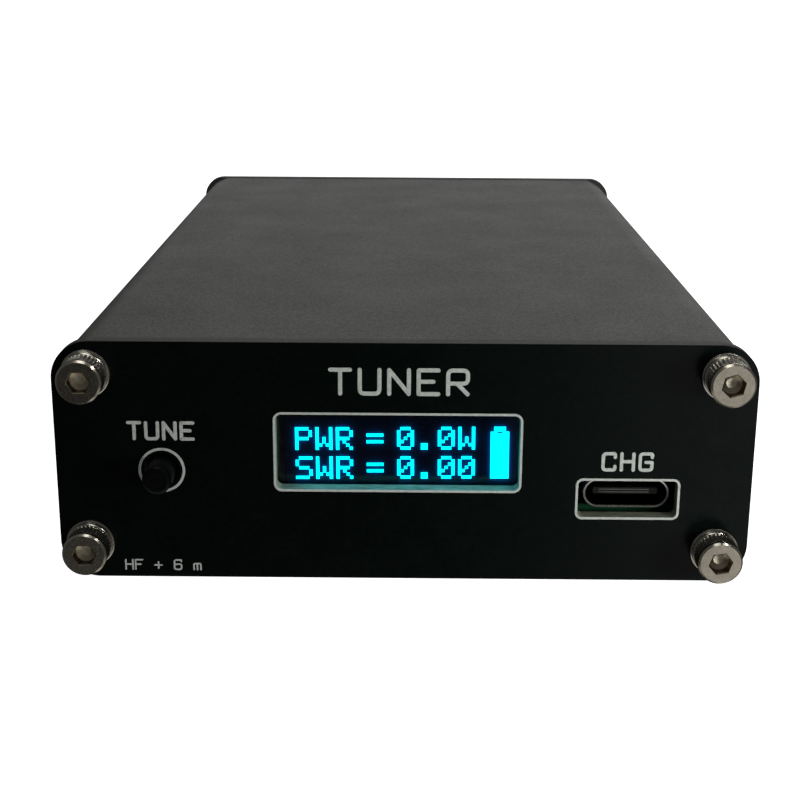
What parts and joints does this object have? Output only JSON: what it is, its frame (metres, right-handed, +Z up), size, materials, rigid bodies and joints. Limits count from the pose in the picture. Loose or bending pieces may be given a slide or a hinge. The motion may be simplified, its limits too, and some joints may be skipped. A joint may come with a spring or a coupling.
{
  "type": "antenna tuner",
  "caption": "Pocket-size radio antenna tuner in a split aluminium box with screwed end panels, small lit display, push button, charging socket and rear coax sockets.",
  "frame": {"origin": "bottom centre of the whole object's box, on the surface it stands on", "axes": "+Z up; the front panel with the display faces -Y; +X is to the right seen from the front"},
  "size_m": [0.071, 0.131, 0.0254],
  "materials": {
    "case_black": "sand-blasted and anodised black, matte",
    "panel_black": "black solder mask on glass-fibre board, satin",
    "panel_print": "white screen-printed ink, matte",
    "screw_steel": "dull nickel-plated steel",
    "washer_steel": "dull plated steel",
    "display_glass": "dark polished glass",
    "display_lit": "self-lit cyan picture elements",
    "carrier_blue": "blue solder mask",
    "adhesive_pad": "white foam",
    "moulding_black": "moulded black plastic",
    "button_black": "moulded black plastic, slightly glossy",
    "pin_gold": "gold plated",
    "pin_tin": "tin plated",
    "spring_steel": "bright spring steel",
    "socket_steel": "drawn stainless steel",
    "tongue_grey": "moulded grey plastic",
    "board_green": "green solder mask",
    "relay_white": "moulded off-white plastic",
    "core_red": "red lacquered iron powder",
    "core_grey": "sintered ferrite",
    "wire_copper": "enamelled copper",
    "capacitor_tan": "fired ceramic with tinned ends",
    "chip_black": "moulded epoxy",
    "cell_silver": "crinkled aluminium foil pouch",
    "connector_white": "moulded nylon",
    "lead_red": "soft insulated wire",
    "coax_nickel": "turned brass, nickel plated",
    "insulator_white": "turned fluoropolymer"
  },
  "bodies": {
    "housing": {"case_lower_shell": "case_black", "case_upper_shell": "case_black", "front_panel": "panel_black", "rear_panel": "panel_black", "front_flat_washers": "washer_steel", "front_spring_washers": "washer_steel", "front_screws": "screw_steel", "rear_flat_washers": "washer_steel", "rear_spring_washers": "washer_steel", "rear_screws": "screw_steel", "display_glass": "display_glass", "display_adhesive_pad": "adhesive_pad", "display_board": "carrier_blue", "display_header": "moulding_black", "display_pins": "pin_gold", "switch_housing": "moulding_black", "switch_dome": "spring_steel", "switch_bracket": "pin_tin", "switch_pins": "pin_tin", "charge_socket_shell": "socket_steel", "charge_socket_tongue": "tongue_grey", "charge_socket_contacts": "pin_gold", "main_board": "board_green", "latching_relays": "relay_white", "inductor_cores": "core_red", "inductor_windings": "wire_copper", "tuning_capacitors": "capacitor_tan", "microcontroller": "chip_black", "relay_driver_left": "chip_black", "relay_driver_rear": "chip_black", "charger_chip": "chip_black", "battery_cell": "cell_silver", "battery_foam_tape": "adhesive_pad", "battery_header": "connector_white", "battery_plug": "connector_white", "battery_leads": "lead_red", "control_jack_body": "moulding_black", "control_jack_nut": "coax_nickel", "control_jack_lugs": "pin_tin", "coax_socket_left_body": "coax_nickel", "coax_socket_left_insulator": "insulator_white", "coax_socket_left_contact": "pin_gold", "coax_socket_left_lock_washer": "washer_steel", "coax_socket_left_nut": "coax_nickel", "coupler_core_left": "core_grey", "coupler_winding_left": "wire_copper", "coax_socket_right_body": "coax_nickel", "coax_socket_right_insulator": "insulator_white", "coax_socket_right_contact": "pin_gold", "coax_socket_right_lock_washer": "washer_steel", "coax_socket_right_nut": "coax_nickel", "coupler_core_right": "core_grey", "coupler_winding_right": "wire_copper"},
    "tune_button_body": {"tune_button": "button_black"}
  },
  "joints": [
    {"name": "tune_press", "type": "slide", "parent": "housing", "child": "tune_button_body", "axis": [0, 1, 0], "range_m": [0, 0.00025], "stiffness_N_per_m": 2000, "springref_m": -0.0003, "deforming": ["switch_dome"]}
  ]
}
